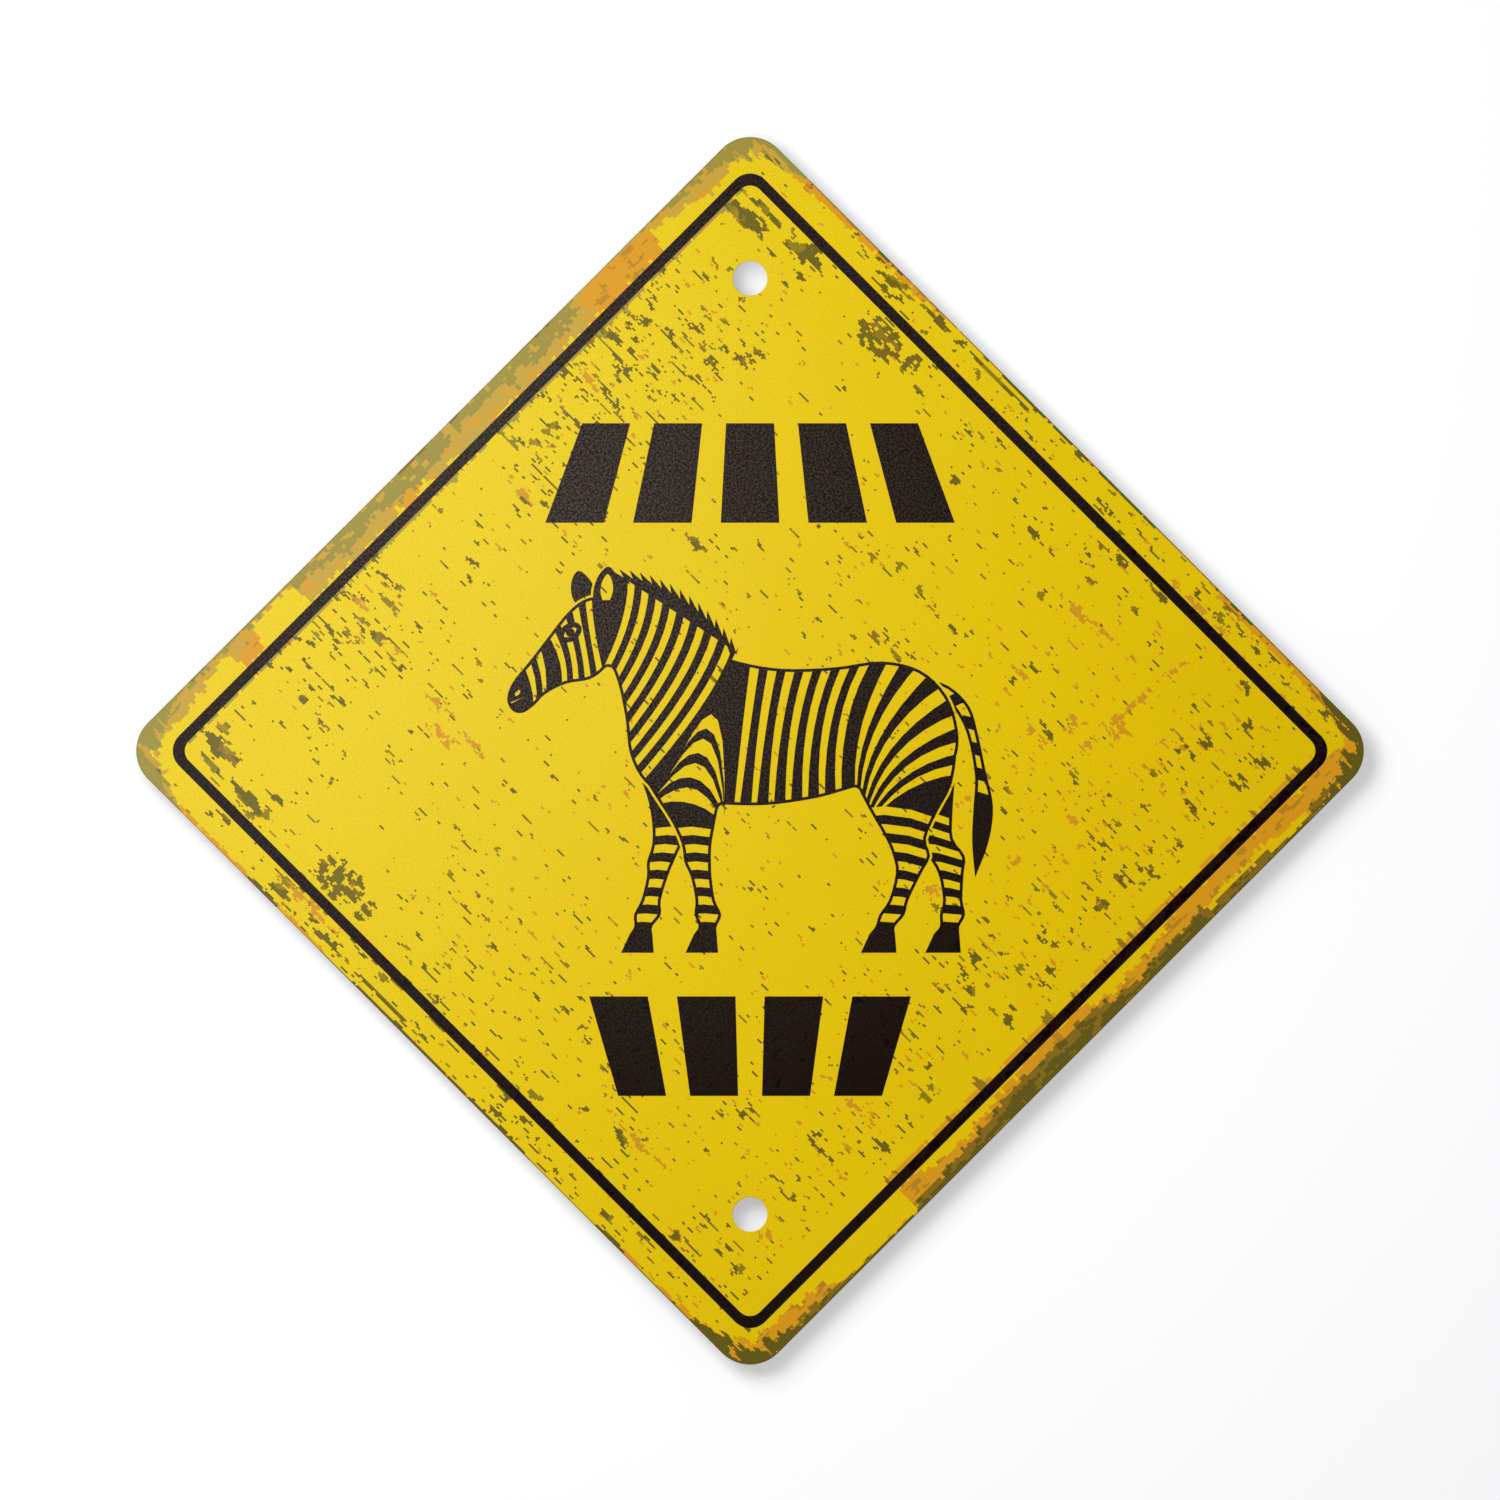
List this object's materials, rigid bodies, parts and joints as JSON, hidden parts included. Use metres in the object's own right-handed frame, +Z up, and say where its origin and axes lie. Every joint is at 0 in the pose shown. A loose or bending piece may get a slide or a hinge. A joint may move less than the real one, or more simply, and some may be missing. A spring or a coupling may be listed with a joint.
{
  "type": "animal crossing sign",
  "caption": "Diamond-shaped sheet metal crossing sign with rounded corners, a border line, a striped animal pictogram, crossing bars and two fixing holes.",
  "frame": {"origin": "centre of the sheet on its flat back face", "axes": "+Z up towards the top corner as it hangs, +Y out of the back face towards the post or wall, -Y out of the printed face, +X to the right seen from the front"},
  "size_m": [0.4198, 0.0011, 0.4198],
  "materials": {
    "yellow_sheet": "worn yellow coat on aluminium sheet, semi-matt, bare metal at the back and the cut edges",
    "black_ink": "worn black ink, semi-matt"
  },
  "bodies": {
    "root": {"panel": "yellow_sheet", "border_line": "black_ink", "animal_figure": "black_ink", "crossing_bars": "black_ink"}
  },
  "joints": []
}
